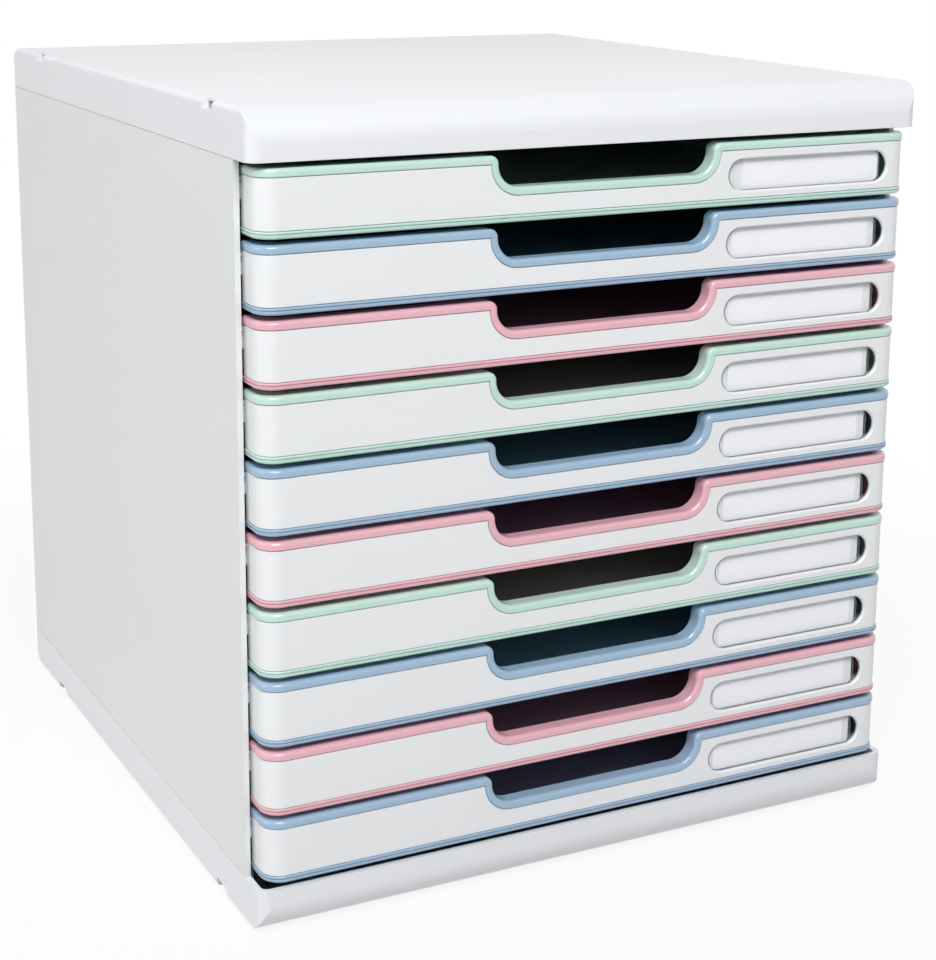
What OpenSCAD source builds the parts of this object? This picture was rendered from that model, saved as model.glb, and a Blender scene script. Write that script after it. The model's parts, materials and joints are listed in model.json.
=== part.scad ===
// Desk drawer unit for A4 sheets: a white casing with ten flat drawers.
// The origin is the centre of the footprint, on the desk. The drawer fronts face -Y and +Z is up.
// All sizes are in millimetres.

/* [Casing] */
// Width over the two side panels
casing_w = 288; // [282:1:330]
// Depth from the face of the drawers to the back
casing_d = 312; // [300:1:360]
// Height of the casing without its feet
casing_h = 308; // [290:1:330]
// Height of the plain side band of the cover and of the base
band_h = 18.3; // [17:0.1:22]
// Thickness of the side panels
panel_t = 2.3; // [2.2:0.1:3.4]
// Wall thickness of the cover and the base
moulding_t = 2.4; // [1.8:0.1:3]
// Thickness of the back panel
back_t = 2; // [1.6:0.1:2.6]
// Radius of the long rounded edges at the front and back of the cover and the base
edge_r = 12; // [9:0.5:15]
// Radius of the upright front corners of the cover and the base
front_corner_r = 5; // [3:0.5:12]
// Radius of the upright back corners
back_corner_r = 3; // [3:0.5:6]
// Radius of the long top edges at the sides
side_edge_r = 2; // [1:0.5:4]
// Distance by which the drawer fronts stand out from the side panels
front_lap = 14.8; // [13:0.1:18]

/* [Joints of the casing] */
// Height of the tongues that the side panels push into the cover and the base
tongue_h = 8; // [4:0.5:9]
// Distance of the tongues from the front edge of the panel and from the back panel
tongue_inset = 6; // [4:1:20]
// Thickness of those tongues
tongue_t = 1.4; // [1:0.1:1.8]
// Height by which the back panel reaches into the cover and the base
back_tongue_h = 2.6; // [1:0.1:3]
// Width of the fine groove along each seam
seam_groove = 0.2; // [0.15:0.05:0.6]
// Width of the lip that holds the back panel at each side
back_lip_w = 6; // [4:0.5:10]
// Thickness of the stiffening ribs inside the cover and the base
rib_t = 1.6; // [1:0.1:2.4]
// Depth of the stiffening ribs inside the cover and the base
rib_h = 8; // [4:0.5:12]

/* [Link sockets] */
// Length of each socket in the long edges of the cover and the base
socket_l = 11; // [10:0.5:20]
// Depth of each socket in from the side
socket_d = 2.6; // [2:0.1:3.4]
// Height of each socket
socket_h = 3.6; // [3:0.1:4]
// Length of the hole in the inner wall of each socket
socket_hole = 9; // [4:0.5:9]
// Thickness left above that hole
socket_roof = 0.8; // [0.6:0.1:1.2]
// Length of the groove behind the hole, in which a link's hook turns back
hook_groove = 16; // [8:1:20]
// Width of that groove
hook_groove_w = 8; // [5:0.5:10]
// Distance of the front sockets from the middle of the side
socket_front = 115; // [70:1:120]
// Distance of the back sockets from the middle of the side
socket_back = 108; // [70:1:120]

/* [Feet] */
// Diameter of the rubber feet
foot_d = 16; // [10:1:24]
// Thickness of the rubber feet
foot_t = 1.8; // [1.4:0.1:2.6]
// Depth of the recess that holds each foot
foot_recess = 1; // [0.6:0.1:1.2]
// Distance of each foot from the edges of the base
foot_inset = 32; // [26:1:60]

/* [Drawers] */
// Number of drawers
drawer_count = 10; // [6:1:11]
// Gap between one drawer front and the next
drawer_gap = 2.1; // [1.5:0.1:3]
// How far a drawer pulls out before it meets its stop
drawer_travel = 240; // [150:5:250]
// Depth of a drawer's front wall
front_t = 7.6; // [6.4:0.1:7.8]
// Thickness of the wall behind the facia
skin_t = 1.8; // [1.4:0.1:2.2]
// Thickness of the drawer's sides, back and floor
tray_t = 1.6; // [1.2:0.1:2]
// Radius of the upright corners inside a drawer
tray_corner_r = 8; // [4:0.5:14]
// Height of a drawer's floor above the lower edge of its front
tray_lift = 0.6; // [0.4:0.1:1.5]
// Distance of a drawer's rim below the upper edge of its front
rim_drop = 2.4; // [1.5:0.1:3.5]

/* [Drawer fronts] */
// Radius of the upright corners of each front
corner_r = 8; // [8:0.5:12]
// Gap between a drawer front and the side panel beside it
front_side_gap = 0.9; // [0.3:0.1:1.2]
// Height of the coloured edge above the facia
top_edge_h = 3.15; // [2.6:0.05:4]
// Height of the coloured edge below the facia
low_edge_h = 2.7; // [2.4:0.05:3.4]
// Rounding of the upper coloured edge
top_edge_r = 1.5; // [0.8:0.1:1.5]
// Rounding of the lower coloured edge
low_edge_r = 1.2; // [0.6:0.1:1.4]
// Width and depth of the fine groove in the lower coloured edge
edge_groove = 0.35; // [0.2:0.05:0.5]
// Thickness of the white facia
facia_t = 1.6; // [1.4:0.1:2.4]
// Distance of the facia behind the coloured edges
facia_recess = 0.4; // [0.2:0.1:0.8]
// Width of the finger notch, from one side of the facia to the other
notch_w = 99.6; // [70:0.2:100]
// Depth of the finger notch in the facia
notch_depth = 11.8; // [8:0.1:14]
// Radius of the notch's lower corners in the facia
notch_r = 11.5; // [6:0.1:13.4]

/* [Label holders] */
// Length of the label opening
label_w = 76.1; // [50:0.1:77]
// Height of the label opening
label_h = 12.4; // [9:0.1:12.8]
// Distance of the label opening from the side of the casing
label_margin = 14; // [12.5:0.5:16]
// Width of the bevel round the label opening
label_bevel = 0.6; // [0.2:0.1:1]
// Distance of the clear window behind the facia's face
window_recess = 0.9; // [0.4:0.1:1.2]
// Thickness of the clear window
window_t = 1.2; // [0.8:0.1:1.6]
// Width of the half-moon opening at the window's right end
half_moon_w = 3.4; // [2:0.1:4]
// Width of the slot behind the half-moon, through which the card is pushed out from inside
card_slot_w = 8; // [5:0.5:8]
// Thickness of the label card
card_t = 0.4; // [0.2:0.1:0.6]
// How much shorter the label card is than the window
card_slack = 6.7; // [4:0.1:20]

/* [Runners] */
// Thickness of the runner ribs on the side panels
runner_t = 1.6; // [1.2:0.1:2]
// Depth of the runner ribs
runner_w = 3.4; // [3:0.1:4.5]
// Thickness of the flange on which a drawer slides
flange_t = 1.6; // [1.2:0.1:2]
// Distance of the flange's underside below the drawer's rim
flange_drop = 5.4; // [4.4:0.1:7]
// Length and height of the stop blocks and of the lugs that meet them
stop_s = 5; // [3:0.5:8]

/* [Clearances] */
// Running clearance between a drawer and what it passes
run_gap = 0.3; // [0.2:0.05:0.5]
// Clearance between pieces that are pushed together
fit_gap = 0.1; // [0.05:0.05:0.2]
// Clearance round the facia and round the window
trim_gap = 0.2; // [0.1:0.05:0.3]

/* [Hidden] */
$fn = 64;

// Heights of the casing
foot_drop = foot_t - foot_recess;
seam_low = foot_drop + band_h;
seam_high = foot_drop + casing_h - band_h;

// Faces of the casing
front_y = -casing_d / 2;
back_y = casing_d / 2;
side_x = casing_w / 2;
panel_x = side_x - panel_t;
panel_front_y = front_y + front_lap;
back_panel_y1 = back_y - moulding_t;
back_panel_y0 = back_panel_y1 - back_t;

// Tongues of the side panels, just inside the walls of the cover and the base
tongue_x = side_x - moulding_t - fit_gap - tongue_t;
tongue_y0 = panel_front_y + tongue_inset;
tongue_y1 = back_panel_y0 - tongue_inset;
rail_clear = 1;

// Drawer rows
pitch = (casing_h - 2 * band_h - drawer_gap) / drawer_count;
front_h = pitch - drawer_gap;

// Drawer front: half width, start of the corner, back end of the side wings
front_x = panel_x - front_side_gap;
front_corner_x = front_x - corner_r;
wing_in = 2;
wing_y = panel_front_y + wing_in;
facia_low = low_edge_h + trim_gap;
facia_top = front_h - top_edge_h;
notch_low = facia_top - notch_depth;
notch_x = notch_w / 2;
notch_bend_r = min(notch_r, notch_depth - 0.3);
channel_d = front_t - skin_t;

// Runners and the drawer's body between them
runner_x = panel_x - runner_w;
runner_y0 = wing_y + run_gap;
back_stop_t = 1.6;
back_stop_y = back_panel_y0 - fit_gap - back_stop_t;
tray_x = runner_x - run_gap;
tray_y0 = front_y + channel_d;
tray_y1 = back_panel_y0 - run_gap;
tray_inner_x = tray_x - tray_t;
tray_inner_y0 = front_y + front_t;
tray_inner_y1 = tray_y1 - tray_t;
tray_rim = front_h - rim_drop;
tray_edge_r = 4;
flange_z = tray_rim - flange_drop;
flange_x = panel_x - 2 * run_gap;
flange_y1 = back_stop_y - 2 * run_gap;
stop_y = runner_y0 + stop_s;
stop_z = flange_z - runner_t;
stop_h = 3;
lug_y = stop_y + run_gap + drawer_travel;

// Label holder, measured behind the drawer's face
label_z = (low_edge_h + facia_top) / 2 - 0.4;
label_right = side_x - label_margin;
label_left = label_right - label_w;
window_s = facia_recess + window_recess;
card_s = window_s + window_t + fit_gap;
pocket_s = card_s + card_t;
pocket_floor_t = 1;
pocket_wall = 1.5;
window_end = label_right - half_moon_w;
window_corner_r = 3;
window_shift = 0.4;
card_l = window_end - label_left - card_slack;
// Each card is pushed in by hand, so its place in the slack differs, from 0 at the left to 1
card_place = [1.1, 0.5, 0.39, 0.6, 0.43, 0.54, 0.45, 0.57, 0.36, 0.47, 0.52];

// Pegs that carry the facia on the front wall: three behind the label and three opposite
peg_d = 4;
peg_middle = label_left + label_w / 2;
peg_spacing = label_w / 2 - 8;
peg_places = [peg_middle - peg_spacing, peg_middle, peg_middle + peg_spacing];

// Colours
white = [0.92, 0.93, 0.94];
panel_white = [0.87, 0.88, 0.88];
facia_white = [0.90, 0.91, 0.92];
green = [0.72, 0.85, 0.78];
blue = [0.57, 0.67, 0.77];
pink = [0.88, 0.67, 0.70];
clear = [0.85, 0.90, 0.95, 0.4];
paper = [0.95, 0.95, 0.97];
rubber = [0.18, 0.18, 0.19];
// From the top drawer down the colours repeat, but the lowest drawer is blue
drawer_colours = [green, blue, pink];
function drawer_colour(i) = i == drawer_count ? blue : drawer_colours[(i - 1) % len(drawer_colours)];

function two_digits(i) = str(i < 10 ? "0" : "", i);
function drawer_node(i, piece) = str("drawer_", two_digits(i), "_", piece);
function drawer_z(i) = seam_low + drawer_gap + (drawer_count - i) * pitch;

CASING_NODES = ["top_cover", "base", "left_side_panel", "right_side_panel", "back_panel", "feet"];
DRAWER_PIECES = ["tray", "front", "window", "card"];
DRAWER_NODES = [for (i = [1:drawer_count]) for (piece = DRAWER_PIECES) drawer_node(i, piece)];

// ---------------------------------------------------------------- shapes used again

// Rectangle whose lower and upper corners are rounded; a radius of 0 leaves them square
module round_rect(x0, x1, y0, y1, r_low, r_high) {
    for (x = [x0 + r_low, x1 - r_low]) {
        if (r_low > 0) translate([x, y0 + r_low]) circle(r_low);
    }
    for (x = [x0 + r_high, x1 - r_high]) {
        if (r_high > 0) translate([x, y1 - r_high]) circle(r_high);
    }
    translate([x0 + r_low, y0]) square([x1 - x0 - 2 * r_low, y1 - y0 - r_high]);
    translate([x0 + r_high, y0 + r_low]) square([x1 - x0 - 2 * r_high, y1 - y0 - r_low]);
    translate([x0, y0 + r_low]) square([x1 - x0, y1 - y0 - r_low - r_high]);
}

// Extrudes an outline drawn in XZ from y0 to y1
module along_y(y0, y1) {
    translate([0, y1, 0]) rotate([90, 0, 0]) linear_extrude(y1 - y0) children();
}

// Extrudes an outline drawn in YZ from x0 to x1
module along_x(x0, x1) {
    translate([x0, 0, 0]) rotate([90, 0, 90]) linear_extrude(x1 - x0) children();
}

// The same piece at the left and at the right
module both_sides() {
    children();
    mirror([1, 0, 0]) children();
}

// Block from z = 0 up to h whose plan, side view and front view are each rounded.
// Only the upper edges are rounded in the side view and in the front view.
module rounded_block(half_w, y0, y1, h, front_r, back_r, side_view_r, front_view_r) {
    intersection() {
        linear_extrude(h) round_rect(-half_w, half_w, y0, y1, front_r, back_r);
        along_x(-half_w, half_w) round_rect(y0, y1, 0, h, 0, side_view_r);
        along_y(y0, y1) round_rect(-half_w, half_w, 0, h, 0, front_view_r);
    }
}

// Plan outline of the casing
module casing_plan() {
    round_rect(-side_x, side_x, front_y, back_y, front_corner_r, back_corner_r);
}

// ---------------------------------------------------------------- cover and base

// The four places of the link sockets
module socket_places() {
    both_sides() {
        for (y = [-socket_front, socket_back]) translate([side_x, y, band_h]) children();
    }
}

// Square-edged socket in a long edge for a link to the next unit. A hole through its inner wall
// leads into a groove under the skin, which runs on towards the back.
module link_socket() {
    hole_h = socket_h - socket_roof;
    groove_x = socket_d + rib_t - 0.2;
    translate([-socket_d, -socket_l / 2, -socket_h]) cube([socket_d + 1, socket_l, socket_h + 1]);
    translate([-groove_x - 1, -socket_hole / 2, -socket_h]) cube([rib_t + 1, socket_hole, hole_h]);
    translate([-groove_x - hook_groove_w, -socket_hole / 2, -socket_h])
        cube([hook_groove_w, socket_hole + hook_groove, hole_h]);
}

// Block of plastic under the skin, in which the socket is formed
module socket_block() {
    block_d = socket_d + rib_t;
    block_h = socket_h + rib_t;
    block_l = socket_l + 2 * rib_t;
    in_skin = moulding_t / 2;
    translate([-block_d, -block_l / 2, -block_h]) cube([block_d - in_skin, block_l, block_h - in_skin]);
}

// Stiffening ribs under the skin, and the rails that hold the side panels' tongues
module moulding_ribs() {
    roof = band_h - moulding_t;
    rail_x = tongue_x - fit_gap - rib_t;
    rail_l = tongue_y1 - tongue_y0;
    for (y = [-0.3, 0, 0.3] * casing_d) {
        translate([-rail_x, y - rib_t / 2, roof - rib_h]) cube([2 * rail_x, rib_t, rib_h + 0.5]);
    }
    for (x = [-0.25, 0.25] * casing_w) {
        translate([x - rib_t / 2, tongue_y0, roof - rib_h]) cube([rib_t, rail_l, rib_h + 0.5]);
    }
    both_sides() {
        translate([rail_x, tongue_y0, rail_clear]) cube([rib_t, rail_l, roof - rail_clear + 0.5]);
    }
}

// The cover; turned over, the same moulding is the base
module moulding() {
    inner_front_r = max(front_corner_r - moulding_t, 0.5);
    inner_back_r = max(back_corner_r - moulding_t, 0.5);
    inner_side_r = max(side_edge_r - moulding_t, 0.5);
    difference() {
        union() {
            difference() {
                rounded_block(side_x, front_y, back_y, band_h,
                              front_corner_r, back_corner_r, edge_r, side_edge_r);
                translate([0, 0, -1])
                    rounded_block(side_x - moulding_t, front_y + moulding_t, back_y - moulding_t,
                                  band_h - moulding_t + 1, inner_front_r, inner_back_r,
                                  edge_r - moulding_t, inner_side_r);
            }
            moulding_ribs();
            socket_places() socket_block();
        }
        socket_places() link_socket();
    }
}

module top_cover() {
    color(white) translate([0, 0, seam_high]) moulding();
}

module foot_places() {
    for (x = [-1, 1], y = [-1, 1]) {
        translate([x * (side_x - foot_inset), y * (back_y - foot_inset), 0]) children();
    }
}

module base() {
    color(white) difference() {
        translate([0, 0, seam_low]) mirror([0, 0, 1]) moulding();
        foot_places() cylinder(d = foot_d + 2 * fit_gap, h = foot_drop + foot_recess);
    }
}

module feet() {
    color(rubber) foot_places() cylinder(d = foot_d, h = foot_t);
}

// ---------------------------------------------------------------- side panels and back

// Plan of a side panel: a plain wall with a lip turned in at the back
module panel_plan() {
    intersection() {
        casing_plan();
        union() {
            translate([panel_x, panel_front_y]) square([panel_t, back_y - panel_front_y]);
            translate([panel_x - back_lip_w, back_panel_y1 + fit_gap])
                square([back_lip_w + panel_t, moulding_t]);
        }
    }
}

// Tongue at the upper or lower end of a panel, set in so that it passes inside the moulding's wall
module panel_tongue() {
    tongue_l = tongue_y1 - tongue_y0;
    root_h = 3;
    translate([tongue_x, tongue_y0, -root_h]) cube([tongue_t, tongue_l, tongue_h + root_h]);
    translate([tongue_x, tongue_y0, -root_h]) cube([panel_x - tongue_x + 0.5, tongue_l, root_h]);
}

// One drawer's runner: a rib that carries the flange, a rib above it and a stop block below
module runner() {
    upper_z = flange_z + flange_t + run_gap;
    length = back_stop_y - runner_y0 + 0.5;
    for (z = [flange_z - runner_t, upper_z]) {
        translate([runner_x, runner_y0, z]) cube([runner_w + 0.5, length, runner_t]);
    }
    translate([runner_x, runner_y0, stop_z - stop_h]) cube([runner_w + 0.5, stop_s, stop_h + 0.5]);
}

// The right-hand panel; the left-hand one is its mirror image
module side_panel() {
    panel_h = seam_high - seam_low;
    stop_reach = runner_w + 0.5;
    difference() {
        translate([0, 0, seam_low]) linear_extrude(panel_h) panel_plan();
        for (z = [seam_low, seam_high - seam_groove]) {
            translate([side_x - seam_groove, panel_front_y - 1, z])
                cube([seam_groove + 1, casing_d, seam_groove]);
        }
    }
    translate([0, 0, seam_high]) panel_tongue();
    translate([0, 0, seam_low]) mirror([0, 0, 1]) panel_tongue();
    translate([runner_x, back_stop_y, seam_low + 4]) cube([stop_reach, back_stop_t, panel_h - 8]);
    for (i = [1:drawer_count]) translate([0, 0, drawer_z(i)]) runner();
}

module right_side_panel() {
    color(panel_white) side_panel();
}

module left_side_panel() {
    color(panel_white) mirror([1, 0, 0]) side_panel();
}

// Back panel, with shallow upright ribs on the outside
module back_panel() {
    plate_x = panel_x - fit_gap;
    tongue_x = plate_x - 10;
    rib_w = 4;
    rib_out = 1;
    color(panel_white) {
        translate([-plate_x, back_panel_y0, seam_low + fit_gap])
            cube([2 * plate_x, back_t, seam_high - seam_low - 2 * fit_gap]);
        translate([-tongue_x, back_panel_y0, seam_low - back_tongue_h])
            cube([2 * tongue_x, back_t, seam_high - seam_low + 2 * back_tongue_h]);
        for (x = [-0.25, 0, 0.25] * casing_w) {
            translate([x - rib_w / 2, back_panel_y1 - 0.5, seam_low + 12])
                cube([rib_w, rib_out + 0.5, seam_high - seam_low - 24]);
        }
    }
}

// ---------------------------------------------------------------- drawer front

// Carries a section along the front from x_from to the corner, round it and along the side wing.
// In the section, x is the distance behind the face and y the height.
module sweep_front(x_from) {
    both_sides() {
        along_x(x_from, front_corner_x) translate([front_y, 0]) children();
        translate([front_corner_x, front_y + corner_r, 0]) rotate([0, 0, -90])
            rotate_extrude(angle = 90) translate([corner_r, 0]) mirror([1, 0]) children();
        along_y(front_y + corner_r, wing_y) translate([front_x, 0]) mirror([1, 0]) children();
    }
}

// Outline of the drawer front in plan, set in from its face
module front_plan(inset) {
    round_rect(-front_x + inset, front_x - inset, front_y + inset, wing_y, corner_r - inset, 0);
}

// Nose of the upper coloured edge: x is the distance behind the face, y the height above the facia
module top_edge_nose() {
    lower_r = 0.5;
    reach = 2 * top_edge_r;
    translate([top_edge_r, top_edge_h - top_edge_r]) circle(top_edge_r);
    translate([lower_r, lower_r]) circle(lower_r);
    translate([lower_r, 0]) square([reach - lower_r, lower_r]);
    translate([0, lower_r]) square([reach, top_edge_h - top_edge_r - lower_r]);
    translate([top_edge_r, 0]) square([reach - top_edge_r, top_edge_h]);
}

// Nose of the lower coloured edge, with its fine groove
module low_edge_nose() {
    upper_r = 0.4;
    reach = 2 * low_edge_r;
    groove_z = low_edge_h - 2 * upper_r;
    difference() {
        union() {
            translate([low_edge_r, low_edge_r]) circle(low_edge_r);
            translate([upper_r, low_edge_h - upper_r]) circle(upper_r);
            translate([low_edge_r, 0]) square([reach - low_edge_r, low_edge_h]);
            translate([0, low_edge_r]) square([reach, low_edge_h - low_edge_r - upper_r]);
            translate([upper_r, low_edge_r]) square([reach - upper_r, low_edge_h - low_edge_r]);
        }
        translate([-1, groove_z - edge_groove]) square([1 + edge_groove, edge_groove]);
    }
}

// Section of the coloured edge along the notch: x is the height above the facia, y the depth
module notch_edge_section() {
    mirror([1, -1]) {
        top_edge_nose();
        translate([front_t, 0]) mirror([1, 0]) top_edge_nose();
        translate([top_edge_r, 0]) square([front_t - 2 * top_edge_r, top_edge_h]);
    }
}

// Finger notch seen from the front, drawn this far inside the facia's edge
module notch_area(inside) {
    round_rect(-notch_x + inside, notch_x - inside, notch_low + inside, front_h + 1, notch_bend_r - inside, 0);
}

// The coloured edge that runs down one side of the notch and along its bottom
module notch_edge() {
    straight = notch_depth - notch_bend_r;
    both_sides() {
        // over the corner of the facia
        translate([notch_x, front_y, facia_top]) rotate([-90, 0, 0]) rotate([0, 0, 180])
            rotate_extrude(angle = 90) notch_edge_section();
        // straight down
        translate([notch_x, front_y, facia_top - straight])
            linear_extrude(straight) mirror([1, 0]) notch_edge_section();
        // round the lower corner
        translate([notch_x - notch_bend_r, front_y, notch_low + notch_bend_r]) rotate([-90, 0, 0])
            rotate_extrude(angle = 90) translate([notch_bend_r, 0]) mirror([1, 0]) notch_edge_section();
    }
    // along the bottom
    along_x(-notch_x + notch_bend_r, notch_x - notch_bend_r)
        translate([front_y, notch_low]) mirror([1, -1]) notch_edge_section();
}

// The part of the front wall that the finger notch takes away, before its edge is added
module notch_cut() {
    along_y(front_y - 1, tray_inner_y0 + 1) {
        intersection() {
            notch_area(top_edge_h / 2);
            translate([-notch_x, 0]) square([2 * notch_x, facia_top]);
        }
        translate([-notch_x, facia_top]) square([2 * notch_x, top_edge_h + 1]);
    }
}

// ---------------------------------------------------------------- drawer tray

// Outside of the drawer's body, behind its front wall
module tray_outside() {
    outer_r = tray_corner_r + tray_t;
    front_r = 1;
    translate([0, 0, tray_rim]) mirror([0, 0, 1])
        rounded_block(tray_x, tray_y0, tray_y1, tray_rim - tray_lift, front_r, outer_r, tray_edge_r, tray_edge_r);
}

// The space inside a drawer, from its floor up past its front wall
module tray_space() {
    inner_r = tray_edge_r - tray_t;
    top = front_h + 1;
    translate([0, 0, top]) mirror([0, 0, 1])
        rounded_block(tray_inner_x, tray_inner_y0, tray_inner_y1, top - tray_lift - tray_t,
                      tray_corner_r, tray_corner_r, inner_r, inner_r);
}

// Slot through the front wall behind the half-moon, as high as the label opening
module card_slot() {
    translate([window_end, tray_y0 - 1, label_z - label_h / 2])
        cube([card_slot_w, skin_t + 1 + tray_corner_r / 2, label_h]);
}

// The drawer's body and its front wall, which is open at its face, where the facia closes it
module tray_shell() {
    difference() {
        union() {
            tray_outside();
            linear_extrude(front_h) front_plan(channel_d);
            linear_extrude(low_edge_h) front_plan(low_edge_r);
            translate([0, 0, facia_top]) linear_extrude(top_edge_h) front_plan(top_edge_r);
            translate([0, 0, facia_top]) sweep_front(notch_x) top_edge_nose();
        }
        tray_space();
        notch_cut();
        card_slot();
    }
    sweep_front(0) low_edge_nose();
    notch_edge();
}

// Flange on which the drawer slides, and the lug that stops it
module tray_runner() {
    flange_root = 0.5;
    flange_y0 = wing_y + fit_gap;
    reach = flange_x - tray_x + flange_root;
    lug_top = stop_z - run_gap;
    lug_h = stop_h - run_gap;
    translate([tray_x - flange_root, flange_y0, flange_z]) cube([reach, flange_y1 - flange_y0, flange_t]);
    translate([tray_x - flange_root, lug_y, lug_top - lug_h]) cube([reach, stop_s, lug_h]);
}

module tray(i) {
    color(drawer_colour(i)) {
        tray_shell();
        both_sides() tray_runner();
    }
}

// ---------------------------------------------------------------- facia and label

// Label opening seen from the front, widened by grow
module label_outline(grow) {
    end_r = label_h / 2;
    r = end_r + grow;
    for (x = [label_left + end_r, label_right - end_r]) translate([x, label_z]) circle(r);
    translate([label_left + end_r, label_z - r]) square([label_w - 2 * end_r, 2 * r]);
}

// Bevel round the label opening, cut from the facia's face inwards
module label_bevel_cut() {
    half_h = label_h / 2;
    face_y = front_y + facia_recess;
    for (x = [label_left + half_h, label_right - half_h]) {
        translate([x, face_y, label_z]) rotate([-90, 0, 0])
            cylinder(r1 = half_h + label_bevel, r2 = half_h, h = label_bevel);
    }
    along_x(label_left + half_h, label_right - half_h) polygon([
        [face_y, label_z - half_h - label_bevel],
        [face_y + label_bevel, label_z - half_h],
        [face_y + label_bevel, label_z + half_h],
        [face_y, label_z + half_h + label_bevel]
    ]);
}

// Pegs behind the facia, which meet the drawer's front wall
module facia_pegs() {
    for (x = peg_places) {
        translate([-x, front_y + facia_recess + facia_t / 2, label_z]) rotate([-90, 0, 0])
            cylinder(d = peg_d, h = channel_d - facia_recess - facia_t / 2);
        translate([x, front_y + pocket_s + pocket_floor_t / 2, label_z]) rotate([-90, 0, 0])
            cylinder(d = peg_d, h = channel_d - pocket_s - pocket_floor_t / 2);
    }
}

// White facia that wraps round the front. Behind its opening is a shallow pocket for the label,
// which is open at its right end, where the card goes in.
module front() {
    facia_back = front_y + facia_recess + facia_t;
    pocket_back = front_y + pocket_s + pocket_floor_t;
    pocket_mouth = half_moon_w + pocket_wall + 1;
    color(facia_white) difference() {
        union() {
            sweep_front(0) translate([facia_recess, facia_low]) square([facia_t, facia_top - trim_gap - facia_low]);
            along_y(front_y + facia_recess + facia_t / 2, pocket_back) label_outline(pocket_wall);
            facia_pegs();
        }
        along_y(front_y - 1, front_y + front_t) notch_area(-trim_gap);
        along_y(front_y - 1, front_y + pocket_s) label_outline(0);
        label_bevel_cut();
        translate([window_end, facia_back, 0]) cube([pocket_mouth, pocket_back + 1 - facia_back, front_h]);
    }
}

// Clear window: round at its left end, cut straight at its right end to leave the half-moon open
module window() {
    half_h = label_h / 2;
    color(clear) along_y(front_y + window_s, front_y + window_s + window_t) intersection() {
        translate([window_shift, 0]) label_outline(-trim_gap);
        round_rect(label_left - 2 * window_corner_r, window_end, label_z - half_h, label_z + half_h,
                   window_corner_r, window_corner_r);
    }
}

// Blank card behind the window
module card(i) {
    half_h = label_h / 2 - trim_gap;
    card_x = label_left + card_slack * card_place[i - 1];
    color(paper) along_y(front_y + card_s, front_y + pocket_s) intersection() {
        label_outline(-trim_gap);
        translate([card_x, label_z - half_h]) square([card_l, 2 * half_h]);
    }
}

// ---------------------------------------------------------------- the pieces

top_cover();
base();
left_side_panel();
right_side_panel();
back_panel();
feet();
for (i = [1:drawer_count]) {
    translate([0, 0, drawer_z(i)]) {
        tray(i);
        front();
        window();
        card(i);
    }
}
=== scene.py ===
# %% [markdown]
# # A desk drawer unit in white and pastel plastic
# The real object is a moulded casing with ten flat drawers for A4 sheets. Its shape is already
# exact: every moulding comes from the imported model, so this lesson is about how plastic looks.
# We load that model first, because every later cell hangs on its bodies and nodes. A body is a
# group of pieces that move together: the casing, and each drawer with its facia and label.

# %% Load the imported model
import json
import math

import bpy
from mathutils import Matrix, Vector

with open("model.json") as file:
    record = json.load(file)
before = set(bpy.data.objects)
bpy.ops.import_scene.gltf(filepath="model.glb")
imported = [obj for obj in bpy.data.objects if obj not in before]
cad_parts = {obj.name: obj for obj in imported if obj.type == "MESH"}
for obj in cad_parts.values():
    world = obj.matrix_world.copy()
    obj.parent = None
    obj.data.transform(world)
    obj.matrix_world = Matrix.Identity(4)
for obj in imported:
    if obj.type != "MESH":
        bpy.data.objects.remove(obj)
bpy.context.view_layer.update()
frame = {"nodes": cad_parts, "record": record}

MM = 0.001

# %% [markdown]
# ## The camera
# The photograph looks at the front from a little to the left and from above, with upright edges
# that stay nearly upright. A photographer gets that by keeping the camera level and shifting the
# lens, and Blender's `shift_y` does the same. The place, the angles and the focal length were
# worked out from the edges of the casing and the even rows of drawers.

# %% Make the camera
PHOTO_LONG_SIDE = 960
FOCAL_PIXELS = 2012
SHIFT_PIXELS = -150
CAMERA_PLACE_MM = (-386.3, -798.5, 381.3)
CAMERA_TURN = 26.98
CAMERA_DROP = 12.24
CAMERA_ROLL = 0.42


def look_from(place, turn, drop, roll):
    """A camera's place and attitude: turn is to the right of +Y, drop below the horizon, in degrees."""
    turn, drop, roll = (math.radians(angle) for angle in (turn, drop, roll))
    ahead = math.cos(drop)
    forward = Vector((math.sin(turn) * ahead, math.cos(turn) * ahead, -math.sin(drop)))
    level = Vector((math.cos(turn), -math.sin(turn), 0.0))
    above = level.cross(forward)
    right = level * math.cos(roll) + above * math.sin(roll)
    up = above * math.cos(roll) - level * math.sin(roll)
    attitude = Matrix((right, up, -forward)).transposed().to_4x4()
    return Matrix.Translation(place) @ attitude


lens = bpy.data.cameras.new("photo_camera")
lens.sensor_width = 36.0
lens.lens = FOCAL_PIXELS * lens.sensor_width / PHOTO_LONG_SIDE
lens.shift_y = SHIFT_PIXELS / PHOTO_LONG_SIDE
lens.clip_start = 0.01
lens.clip_end = 50.0
camera = bpy.data.objects.new("photo_camera", lens)
camera.matrix_world = look_from(
    Vector(CAMERA_PLACE_MM) * MM, CAMERA_TURN, CAMERA_DROP, CAMERA_ROLL)
bpy.context.scene.collection.objects.link(camera)
bpy.context.scene.camera = camera
print("lens %.1f mm, shift %.3f" % (lens.lens, lens.shift_y))

# %% [markdown]
# ## Small helpers for shader nodes
# A material in Blender is a graph. Writing one in Python is mostly adding a node, setting its
# inputs and joining sockets, so three short helpers keep every later cell readable.

# %% Define the helpers
def add_node(tree, kind, place, **settings):
    """Adds a node, puts it at a place in the graph and sets its plain properties."""
    node = tree.nodes.new(kind)
    node.location = (place[0] * 200, place[1] * 200)
    for name, value in settings.items():
        setattr(node, name, value)
    return node


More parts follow.
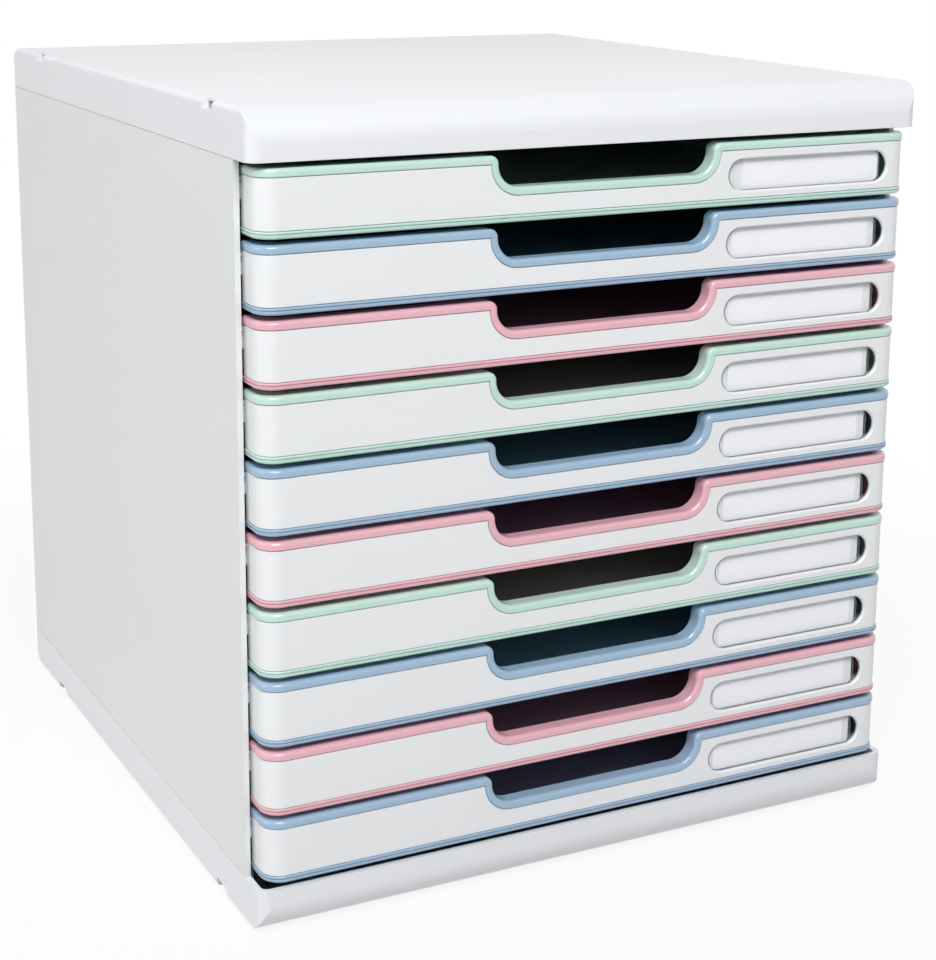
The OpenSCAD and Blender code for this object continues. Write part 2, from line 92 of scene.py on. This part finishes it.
def set_inputs(node, **values):
    """Sets inputs by name, with spaces written as underscores."""
    for name, value in values.items():
        node.inputs[name.replace("_", " ")].default_value = value


def new_group(name, inputs, outputs):
    """An empty node group with its sockets; inputs and outputs map names to (type, default)."""
    tree = bpy.data.node_groups.new(name, "ShaderNodeTree")
    for socket, (kind, default) in inputs.items():
        made = tree.interface.new_socket(socket, in_out="INPUT", socket_type=kind)
        made.default_value = default
    for socket, kind in outputs.items():
        tree.interface.new_socket(socket, in_out="OUTPUT", socket_type=kind)
    return tree


FLOAT, COLOUR, VECTOR = "NodeSocketFloat", "NodeSocketColor", "NodeSocketVector"


def srgb(red, green, blue):
    """A colour as a paint chart gives it, 0 to 255, turned into the linear values of a shader."""
    def linear(value):
        part = value / 255
        return part / 12.92 if part <= 0.04045 else ((part + 0.055) / 1.055) ** 2.4
    return (linear(red), linear(green), linear(blue), 1.0)


print("white of 255 is", srgb(255, 255, 255)[:3])

# %% [markdown]
# ## The skin of a moulding
# Injection-moulded plastic is never a flat colour. Its skin flows a little, so reflections
# waver; resin mixes unevenly, so the tone drifts over a hand's width; and handling leaves
# soft patches that shine more or less. One group makes all three from noise that is fixed in the
# object, so that it moves with a drawer. It puts out a colour, a roughness and a height.

# %% Build the group for the moulded skin
def make_skin_group():
    tree = new_group(
        "moulded skin",
        {"Tone": (COLOUR, (0.8, 0.8, 0.8, 1.0)), "Drift": (FLOAT, 0.03),
         "Shine": (FLOAT, 0.4), "Patches": (FLOAT, 0.08), "Grain": (FLOAT, 0.5)},
        {"Tone": COLOUR, "Roughness": FLOAT, "Height": FLOAT})
    socket_in = add_node(tree, "NodeGroupInput", (-5, 0))
    socket_out = add_node(tree, "NodeGroupOutput", (5, 0))
    where = add_node(tree, "ShaderNodeTexCoord", (-5, -2))

    # slow drift of the tone
    clouds = add_node(tree, "ShaderNodeTexNoise", (-3, 2))
    set_inputs(clouds, Scale=9.0, Detail=2.0, Roughness=0.5)
    swing = add_node(tree, "ShaderNodeMapRange", (-2, 2))
    set_inputs(swing, From_Min=0.3, From_Max=0.7, To_Min=-1.0, To_Max=1.0)
    amount = add_node(tree, "ShaderNodeMath", (-1, 2), operation="MULTIPLY_ADD")
    amount.inputs[2].default_value = 1.0
    tone = add_node(tree, "ShaderNodeMix", (1, 2), data_type="RGBA", blend_type="MULTIPLY")
    tone.inputs["Factor"].default_value = 1.0
    grey = add_node(tree, "ShaderNodeCombineColor", (0, 2))
    tree.links.new(where.outputs["Object"], clouds.inputs["Vector"])
    tree.links.new(clouds.outputs["Fac"], swing.inputs["Value"])
    tree.links.new(swing.outputs["Result"], amount.inputs[0])
    tree.links.new(socket_in.outputs["Drift"], amount.inputs[1])
    for channel in ("Red", "Green", "Blue"):
        tree.links.new(amount.outputs[0], grey.inputs[channel])
    tree.links.new(socket_in.outputs["Tone"], tone.inputs["A"])
    tree.links.new(grey.outputs["Color"], tone.inputs["B"])
    tree.links.new(tone.outputs["Result"], socket_out.inputs["Tone"])

    # patches where handling has changed the shine
    patches = add_node(tree, "ShaderNodeTexNoise", (-3, 0))
    set_inputs(patches, Scale=22.0, Detail=1.0, Roughness=0.4)
    spread = add_node(tree, "ShaderNodeMapRange", (-2, 0))
    set_inputs(spread, From_Min=0.35, From_Max=0.65, To_Min=-1.0, To_Max=1.0)
    rough = add_node(tree, "ShaderNodeMath", (-1, 0), operation="MULTIPLY_ADD")
    tree.links.new(where.outputs["Object"], patches.inputs["Vector"])
    tree.links.new(patches.outputs["Fac"], spread.inputs["Value"])
    tree.links.new(spread.outputs["Result"], rough.inputs[0])
    tree.links.new(socket_in.outputs["Patches"], rough.inputs[1])
    tree.links.new(socket_in.outputs["Shine"], rough.inputs[2])
    tree.links.new(rough.outputs[0], socket_out.inputs["Roughness"])

    # long soft waves of the skin and the fine grain of the mould's surface
    waves = add_node(tree, "ShaderNodeTexNoise", (-3, -2))
    set_inputs(waves, Scale=90.0, Detail=0.0)
    fine = add_node(tree, "ShaderNodeTexNoise", (-3, -4))
    set_inputs(fine, Scale=1500.0, Detail=2.0, Roughness=0.6)
    height = add_node(tree, "ShaderNodeMath", (-1, -2), operation="MULTIPLY_ADD")
    tree.links.new(where.outputs["Object"], waves.inputs["Vector"])
    tree.links.new(where.outputs["Object"], fine.inputs["Vector"])
    tree.links.new(fine.outputs["Fac"], height.inputs[0])
    tree.links.new(socket_in.outputs["Grain"], height.inputs[1])
    tree.links.new(waves.outputs["Fac"], height.inputs[2])
    tree.links.new(height.outputs[0], socket_out.inputs["Height"])
    return tree


skin_group = make_skin_group()
print("group:", skin_group.name, [socket.name for socket in skin_group.interface.items_tree])

# %% [markdown]
# ## Edges and their painted highlight
# No moulding has a perfectly sharp edge: the tool leaves a radius of a few tenths of a
# millimetre, and it is this thread of light that tells the eye "plastic". The edge could be
# bevelled in the mesh, but it is thinner than a pixel here, so the Bevel node bends the shading
# normal instead. Comparing that normal with the true one also tells us where the edges are, and
# there the colour is painted paler in patches of noise: a painted highlight along every edge.

# %% Build the group for rounded edges and their painted highlight
def make_edge_group():
    tree = new_group(
        "softened edges with painted highlight",
        {"Tone": (COLOUR, (0.8, 0.8, 0.8, 1.0)), "Rubbed Tone": (COLOUR, (0.9, 0.9, 0.9, 1.0)),
         "Rubbing": (FLOAT, 0.3), "Radius": (FLOAT, 0.0004)},
        {"Tone": COLOUR, "Normal": VECTOR})
    socket_in = add_node(tree, "NodeGroupInput", (-5, 0))
    socket_out = add_node(tree, "NodeGroupOutput", (4, 0))
    rounded = add_node(tree, "ShaderNodeBevel", (-3, 0), samples=4)
    tree.links.new(socket_in.outputs["Radius"], rounded.inputs["Radius"])
    tree.links.new(rounded.outputs["Normal"], socket_out.inputs["Normal"])

    # where the bent normal parts from the true one lies an edge; there a paler tone, broken up by
    # noise, is painted on as a highlight
    truth = add_node(tree, "ShaderNodeNewGeometry", (-3, -2))
    match = add_node(tree, "ShaderNodeVectorMath", (-2, -1), operation="DOT_PRODUCT")
    edge = add_node(tree, "ShaderNodeMapRange", (-1, -1))
    set_inputs(edge, From_Min=0.999, From_Max=0.85, To_Min=0.0, To_Max=1.0)
    where = add_node(tree, "ShaderNodeTexCoord", (-5, -4))
    highlight_breakup = add_node(tree, "ShaderNodeTexNoise", (-3, -4))
    set_inputs(highlight_breakup, Scale=120.0, Detail=3.0, Roughness=0.7)
    painted_highlight = add_node(tree, "ShaderNodeMath", (0, -2), operation="MULTIPLY")
    share = add_node(tree, "ShaderNodeMath", (1, -2), operation="MULTIPLY")
    tone = add_node(tree, "ShaderNodeMix", (2, 1), data_type="RGBA")
    tree.links.new(rounded.outputs["Normal"], match.inputs[0])
    tree.links.new(truth.outputs["Normal"], match.inputs[1])
    tree.links.new(match.outputs["Value"], edge.inputs["Value"])
    tree.links.new(where.outputs["Object"], highlight_breakup.inputs["Vector"])
    tree.links.new(edge.outputs["Result"], painted_highlight.inputs[0])
    tree.links.new(highlight_breakup.outputs["Fac"], painted_highlight.inputs[1])
    tree.links.new(painted_highlight.outputs[0], share.inputs[0])
    tree.links.new(socket_in.outputs["Rubbing"], share.inputs[1])
    tree.links.new(share.outputs[0], tone.inputs["Factor"])
    tree.links.new(socket_in.outputs["Tone"], tone.inputs["A"])
    tree.links.new(socket_in.outputs["Rubbed Tone"], tone.inputs["B"])
    tree.links.new(tone.outputs["Result"], socket_out.inputs["Tone"])
    return tree


edge_group = make_edge_group()
print("group:", edge_group.name)

# %% [markdown]
# ## A recipe for every moulded plastic
# White casing, glossy facias and pastel trays are the same kind of plastic with other numbers:
# a tone, a shine, and how strongly each effect shows. So one function builds the graph, and the
# Principled shader itself stays in the material, where its plain numbers can be read.

# %% Define the plastic recipe
def moulded_plastic(name, tone, highlight_tone, shine, patches, drift, wave_height, edge_radius,
                    highlight_share=0.25, mirror=0.5):
    """A plastic finish. shine is the roughness, wave_height and edge_radius are in metres, and the
    second tone is painted on the edges as a highlight.
    """
    finish = bpy.data.materials.new(name)
    finish.use_nodes = True
    tree = finish.node_tree
    shader = tree.nodes["Principled BSDF"]
    set_inputs(shader, IOR=1.49, Metallic=0.0, Specular_IOR_Level=mirror)

    skin = add_node(tree, "ShaderNodeGroup", (-6, 1), node_tree=skin_group)
    set_inputs(skin, Tone=tone, Drift=drift, Shine=shine, Patches=patches, Grain=0.25)
    # the edges get a paler second tone painted on them: a painted highlight
    edges = add_node(tree, "ShaderNodeGroup", (-4, 1), node_tree=edge_group)
    set_inputs(edges, Rubbed_Tone=highlight_tone, Rubbing=highlight_share, Radius=edge_radius)
    relief = add_node(tree, "ShaderNodeBump", (-2, -1))
    set_inputs(relief, Strength=1.0, Distance=wave_height)

    tree.links.new(skin.outputs["Tone"], edges.inputs["Tone"])
    tree.links.new(edges.outputs["Tone"], shader.inputs["Base Color"])
    tree.links.new(skin.outputs["Roughness"], shader.inputs["Roughness"])
    tree.links.new(skin.outputs["Height"], relief.inputs["Height"])
    tree.links.new(edges.outputs["Normal"], relief.inputs["Normal"])
    tree.links.new(relief.outputs["Normal"], shader.inputs["Normal"])
    print("finish:", name)
    return finish


# %% [markdown]
# ## Whites
# Three whites meet on the object. The cover and base are a satin white, the side panels are
# the same resin a shade duller, and the facias are smoother, so they catch more of the lamps.

# %% Mix the whites
# each white's second tone is the paler one painted on its edges as a highlight
casing_white = moulded_plastic(
    "casing white", srgb(229, 231, 234), srgb(240, 241, 243),
    shine=0.44, patches=0.02, drift=0.010, wave_height=0.000006, edge_radius=0.0005)
panel_white = moulded_plastic(
    "panel white", srgb(226, 228, 228), srgb(238, 239, 239),
    shine=0.50, patches=0.02, drift=0.012, wave_height=0.000006, edge_radius=0.0004)
facia_white = moulded_plastic(
    "facia white", srgb(231, 233, 235), srgb(246, 247, 248),
    shine=0.34, patches=0.02, drift=0.008, wave_height=0.000004, edge_radius=0.0003)

# %% [markdown]
# ## Pastels
# The trays are coloured right through, and their smooth rounded edges show a bright line where
# they face the lamps, helped by a paler tone painted on the edges as a highlight. The tones are
# mint, powder blue and rose.

# %% Mix the pastels
# each second tone is the paler one painted on the edges as a highlight
PASTELS = {
    "drawer_green": ("mint tray", srgb(190, 221, 210), srgb(222, 240, 234)),
    "drawer_blue": ("powder blue tray", srgb(152, 181, 206), srgb(196, 215, 230)),
    "drawer_pink": ("rose tray", srgb(228, 174, 185), srgb(244, 213, 220)),
}
pastels = {
    slot: moulded_plastic(name, tone, highlight_tone, shine=0.17, patches=0.01, drift=0.015,
                          wave_height=0.000003, edge_radius=0.0003, mirror=0.8)
    for slot, (name, tone, highlight_tone) in PASTELS.items()
}

# %% [markdown]
# ## Clear plastic
# A label window is a thin clear plate, so nearly all light goes through and only its polish
# shows, and at a slant the plate is painted whiter and more opaque: a painted reflection. Its
# sawn rim is another matter: light that enters it is trapped, and it looks grey, so the rim is
# painted a dark grey and made more opaque: painted shade. The surface normal tells the two
# apart, because the plate's faces look along Y and the rim doesn't.

# %% Make the clear plastic
RIM_SHADE_OPACITY = 0.6


def clear_plastic():
    finish = bpy.data.materials.new("clear window plastic")
    finish.use_nodes = True
    tree = finish.node_tree
    shader = tree.nodes["Principled BSDF"]
    set_inputs(shader, IOR=1.49, Metallic=0.0, Transmission_Weight=0.0)
    skin = add_node(tree, "ShaderNodeGroup", (-4, 1), node_tree=skin_group)
    set_inputs(skin, Shine=0.08, Patches=0.02, Grain=0.1)
    relief = add_node(tree, "ShaderNodeBump", (-2, -1))
    set_inputs(relief, Strength=1.0, Distance=0.000002)
    # seen at a slant the plate is painted whiter and more opaque than face-on: a painted reflection
    slant = add_node(tree, "ShaderNodeLayerWeight", (-4, -2))
    slant.inputs["Blend"].default_value = 0.3
    slant_opacity = add_node(tree, "ShaderNodeMapRange", (-2, -2))
    set_inputs(slant_opacity, From_Min=0.0, From_Max=1.0, To_Min=0.02, To_Max=0.12)
    tree.links.new(slant.outputs["Facing"], slant_opacity.inputs["Value"])
    # the sawn rim faces neither forwards nor backwards
    truth = add_node(tree, "ShaderNodeNewGeometry", (-6, -4))
    faces = add_node(tree, "ShaderNodeSeparateXYZ", (-5, -4))
    across = add_node(tree, "ShaderNodeMath", (-4, -4), operation="ABSOLUTE")
    rim = add_node(tree, "ShaderNodeMapRange", (-3, -4))
    set_inputs(rim, From_Min=0.6, From_Max=0.2, To_Min=0.0, To_Max=1.0)
    tree.links.new(truth.outputs["True Normal"], faces.inputs[0])
    tree.links.new(faces.outputs["Y"], across.inputs[0])
    tree.links.new(across.outputs[0], rim.inputs["Value"])
    # the opacity adds the rim's painted shade to the slant's painted reflection
    window_alpha = add_node(tree, "ShaderNodeMath", (-1, -3), operation="MULTIPLY_ADD")
    window_alpha.inputs[1].default_value = RIM_SHADE_OPACITY
    tree.links.new(rim.outputs["Result"], window_alpha.inputs[0])
    tree.links.new(slant_opacity.outputs["Result"], window_alpha.inputs[2])
    tree.links.new(window_alpha.outputs[0], shader.inputs["Alpha"])
    # the rim is painted a dark grey: painted shade
    rim_shade_tint = add_node(tree, "ShaderNodeMix", (-1, 3), data_type="RGBA")
    set_inputs(rim_shade_tint, A=(0.93, 0.95, 0.97, 1.0), B=(0.10, 0.11, 0.12, 1.0))
    tree.links.new(rim.outputs["Result"], rim_shade_tint.inputs["Factor"])
    tree.links.new(rim_shade_tint.outputs["Result"], shader.inputs["Base Color"])
    tree.links.new(skin.outputs["Roughness"], shader.inputs["Roughness"])
    tree.links.new(skin.outputs["Height"], relief.inputs["Height"])
    tree.links.new(relief.outputs["Normal"], shader.inputs["Normal"])
    print("finish:", finish.name)
    return finish


window_clear = clear_plastic()

# %% [markdown]
# ## Card and rubber
# The card behind the window is uncoated, a shade bluer than the facia, with short fibres pressed
# into its surface: noise that is stretched along the card gives them. The feet are plain rubber,
# the same recipe as the mouldings with a dark tone, hardly any shine and a coarser grain.

# %% Make the card and the rubber
def fibre_card():
    finish = bpy.data.materials.new("uncoated card")
    finish.use_nodes = True
    tree = finish.node_tree
    shader = tree.nodes["Principled BSDF"]
    set_inputs(shader, Roughness=0.85, IOR=1.4)
    where = add_node(tree, "ShaderNodeTexCoord", (-7, 0))
    stretch = add_node(tree, "ShaderNodeMapping", (-6, 0))
    set_inputs(stretch, Scale=(1.0, 1.0, 4.0))
    fibres = add_node(tree, "ShaderNodeTexNoise", (-5, 0))
    set_inputs(fibres, Scale=900.0, Detail=3.0, Distortion=1.5)
    tones = add_node(tree, "ShaderNodeValToRGB", (-4, 1))
    tones.color_ramp.elements[0].position = 0.3
    tones.color_ramp.elements[0].color = srgb(244, 245, 252)
    tones.color_ramp.elements[1].position = 0.7
    tones.color_ramp.elements[1].color = srgb(248, 249, 255)
    relief = add_node(tree, "ShaderNodeBump", (-2, -1))
    set_inputs(relief, Strength=0.4, Distance=0.00003)
    tree.links.new(where.outputs["Object"], stretch.inputs["Vector"])
    tree.links.new(stretch.outputs["Vector"], fibres.inputs["Vector"])
    tree.links.new(fibres.outputs["Fac"], tones.inputs["Fac"])
    tree.links.new(tones.outputs["Color"], shader.inputs["Base Color"])
    tree.links.new(fibres.outputs["Fac"], relief.inputs["Height"])
    tree.links.new(relief.outputs["Normal"], shader.inputs["Normal"])
    print("finish:", finish.name)
    return finish


card_finish = fibre_card()
# the second tone is painted on the feet's edges as a highlight
foot_rubber = moulded_plastic(
    "foot rubber", srgb(46, 46, 48), srgb(70, 70, 72),
    shine=0.75, patches=0.08, drift=0.08, wave_height=0.00006, edge_radius=0.0004)

# %% [markdown]
# ## Dress the mouldings
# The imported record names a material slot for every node, so dressing is a lookup. The finish
# goes into the node's own material slots; the node itself is neither moved nor reshaped.

# %% Give every node its finish
FINISHES = {
    "casing_white": casing_white, "panel_white": panel_white, "facia_white": facia_white,
    "label_window": window_clear, "label_card": card_finish, "foot_rubber": foot_rubber,
    **pastels,
}
slot_of = {part["node"]: part["material_slot"] for part in frame["record"]["subparts"]}
for node, piece in frame["nodes"].items():
    for material_slot in piece.material_slots:
        material_slot.material = FINISHES[slot_of[node]]
print("dressed", len(slot_of), "nodes with", len(FINISHES), "finishes")

# %% [markdown]
# ## Floor and surroundings
# The photograph is a product shot on pure white. We keep a real floor, so that the unit stands
# on something, and make it white by colour and not by more light: to the camera it is mostly an
# even glow of strength 1, and the rest is a plain white sheet that still takes a soft shadow.

# %% Lay the floor
FLOOR_HALF = 4.0
GLOW_BESIDE_UNIT = 0.88
GLOW_FAR_OFF = 1.0
SHADOW_STARTS = 0.2
SHADOW_ENDS = 0.6


def floor_finish():
    finish = bpy.data.materials.new("white sweep")
    finish.use_nodes = True
    tree = finish.node_tree
    tree.nodes.clear()
    out = add_node(tree, "ShaderNodeOutputMaterial", (3, 0))
    sheet = add_node(tree, "ShaderNodeBsdfDiffuse", (-1, 1))
    set_inputs(sheet, Color=(0.76, 0.76, 0.76, 1.0))
    glow = add_node(tree, "ShaderNodeEmission", (-1, -1))
    set_inputs(glow, Color=(1.0, 1.0, 1.0, 1.0), Strength=1.0)
    path = add_node(tree, "ShaderNodeLightPath", (-4, 3))
    seen = add_node(tree, "ShaderNodeMath", (-3, 3), operation="MAXIMUM")
    share = add_node(tree, "ShaderNodeMath", (-1, 3), operation="MULTIPLY")
    mix = add_node(tree, "ShaderNodeMixShader", (1, 0))
    # the share of glow rises from beside the unit, where its shadow lies, to all of it further out
    where = add_node(tree, "ShaderNodeTexCoord", (-5, 1))
    away = add_node(tree, "ShaderNodeVectorMath", (-4, 1), operation="LENGTH")
    fade = add_node(tree, "ShaderNodeMapRange", (-3, 1), interpolation_type="SMOOTHSTEP")
    set_inputs(fade, From_Min=SHADOW_STARTS, From_Max=SHADOW_ENDS,
               To_Min=GLOW_BESIDE_UNIT, To_Max=GLOW_FAR_OFF)
    tree.links.new(where.outputs["Object"], away.inputs[0])
    tree.links.new(away.outputs["Value"], fade.inputs["Value"])
    tree.links.new(path.outputs["Is Camera Ray"], seen.inputs[0])
    tree.links.new(path.outputs["Is Glossy Ray"], seen.inputs[1])
    tree.links.new(seen.outputs[0], share.inputs[0])
    tree.links.new(fade.outputs["Result"], share.inputs[1])
    tree.links.new(share.outputs[0], mix.inputs["Fac"])
    tree.links.new(sheet.outputs[0], mix.inputs[1])
    tree.links.new(glow.outputs[0], mix.inputs[2])
    tree.links.new(mix.outputs[0], out.inputs["Surface"])
    return finish


floor_mesh = bpy.data.meshes.new("floor")
corners = [(x * FLOOR_HALF, y * FLOOR_HALF, 0.0) for x, y in ((-1, -1), (1, -1), (1, 1), (-1, 1))]
floor_mesh.from_pydata(corners, [], [(0, 1, 2, 3)])
floor = bpy.data.objects.new("floor", floor_mesh)
floor_mesh.materials.append(floor_finish())
bpy.context.scene.collection.objects.link(floor)
print("floor of", 2 * FLOOR_HALF, "m")

# %% [markdown]
# ## The room's light
# A studio is dark behind the camera and white on the other sides, and that is what keeps the
# gaps between the drawers black while every wall of the unit is still lit softly. So the light
# from the world grows from the front, -Y, to the back. What the lens sees behind the unit, and
# what polished plastic mirrors, is another matter: there the world is a plain white of strength 1.

# %% Set up the world
LIGHT_FROM_FRONT = 0.03
LIGHT_FROM_BACK = 0.85

world = bpy.data.worlds.new("white studio")
bpy.context.scene.world = world
world.use_nodes = True
sky = world.node_tree
sky.nodes.clear()
sky_out = add_node(sky, "ShaderNodeOutputWorld", (3, 0))
heading = add_node(sky, "ShaderNodeTexCoord", (-4, 1))
parts = add_node(sky, "ShaderNodeSeparateXYZ", (-3, 1))
level = add_node(sky, "ShaderNodeMapRange", (-2, 1))
set_inputs(level, From_Min=-0.5, From_Max=1.0, To_Min=LIGHT_FROM_FRONT, To_Max=LIGHT_FROM_BACK)
room = add_node(sky, "ShaderNodeBackground", (0, 1))
set_inputs(room, Color=(1.0, 1.0, 1.0, 1.0))
backdrop = add_node(sky, "ShaderNodeBackground", (0, -1))
set_inputs(backdrop, Color=(1.0, 1.0, 1.0, 1.0), Strength=1.0)
ray = add_node(sky, "ShaderNodeLightPath", (-3, 3))
direct = add_node(sky, "ShaderNodeMath", (-2, 3), operation="MAXIMUM")
through = add_node(sky, "ShaderNodeMath", (-1, 3), operation="MAXIMUM")
choose = add_node(sky, "ShaderNodeMixShader", (1, 0))
sky.links.new(heading.outputs["Generated"], parts.inputs[0])
sky.links.new(parts.outputs["Y"], level.inputs["Value"])
sky.links.new(level.outputs["Result"], room.inputs["Strength"])
sky.links.new(ray.outputs["Is Camera Ray"], direct.inputs[0])
sky.links.new(ray.outputs["Is Glossy Ray"], direct.inputs[1])
sky.links.new(direct.outputs[0], through.inputs[0])
sky.links.new(ray.outputs["Is Transmission Ray"], through.inputs[1])
sky.links.new(through.outputs[0], choose.inputs["Fac"])
sky.links.new(room.outputs[0], choose.inputs[1])
sky.links.new(backdrop.outputs[0], choose.inputs[2])
sky.links.new(choose.outputs[0], sky_out.inputs["Surface"])
print("world:", world.name)

# %% [markdown]
# ## Softboxes
# Two large lamps shape the plastic. The key hangs high in front: it whitens the facias and
# draws the bright line along every coloured edge, and it is steep enough for its light to reach
# only a short way in behind each notch, so that the drawers stay dark inside. The other stands
# low on the left and lifts the side panel. Large lamps give soft shadows.

# %% Hang the softboxes
MIDDLE = (0.0, 0.0, 0.15)


def softbox(name, place, width, height, watts):
    """A rectangular lamp that faces the middle of the unit, with sizes in metres."""
    lamp = bpy.data.lights.new(name, "AREA")
    lamp.shape = "RECTANGLE"
    lamp.size = width
    lamp.size_y = height
    lamp.energy = watts
    box = bpy.data.objects.new(name, lamp)
    box.location = place
    box.rotation_euler = (Vector(MIDDLE) - Vector(place)).to_track_quat("-Z", "Y").to_euler()
    bpy.context.scene.collection.objects.link(box)


softbox("key softbox", (-0.5, -1.45, 1.8), width=1.3, height=0.7, watts=43.0)
softbox("left softbox", (-1.7, 0.0, 0.4), width=0.8, height=0.5, watts=5.2)
print("lamps:", len(bpy.data.lights))

# %% [markdown]
# ## Picture settings
# The Standard view shows a colour as it was written. Everything else stays at its default, so
# that the picture depends on the object and the lamps alone.

# %% Choose the view transform and finish
bpy.context.scene.view_settings.view_transform = "Standard"
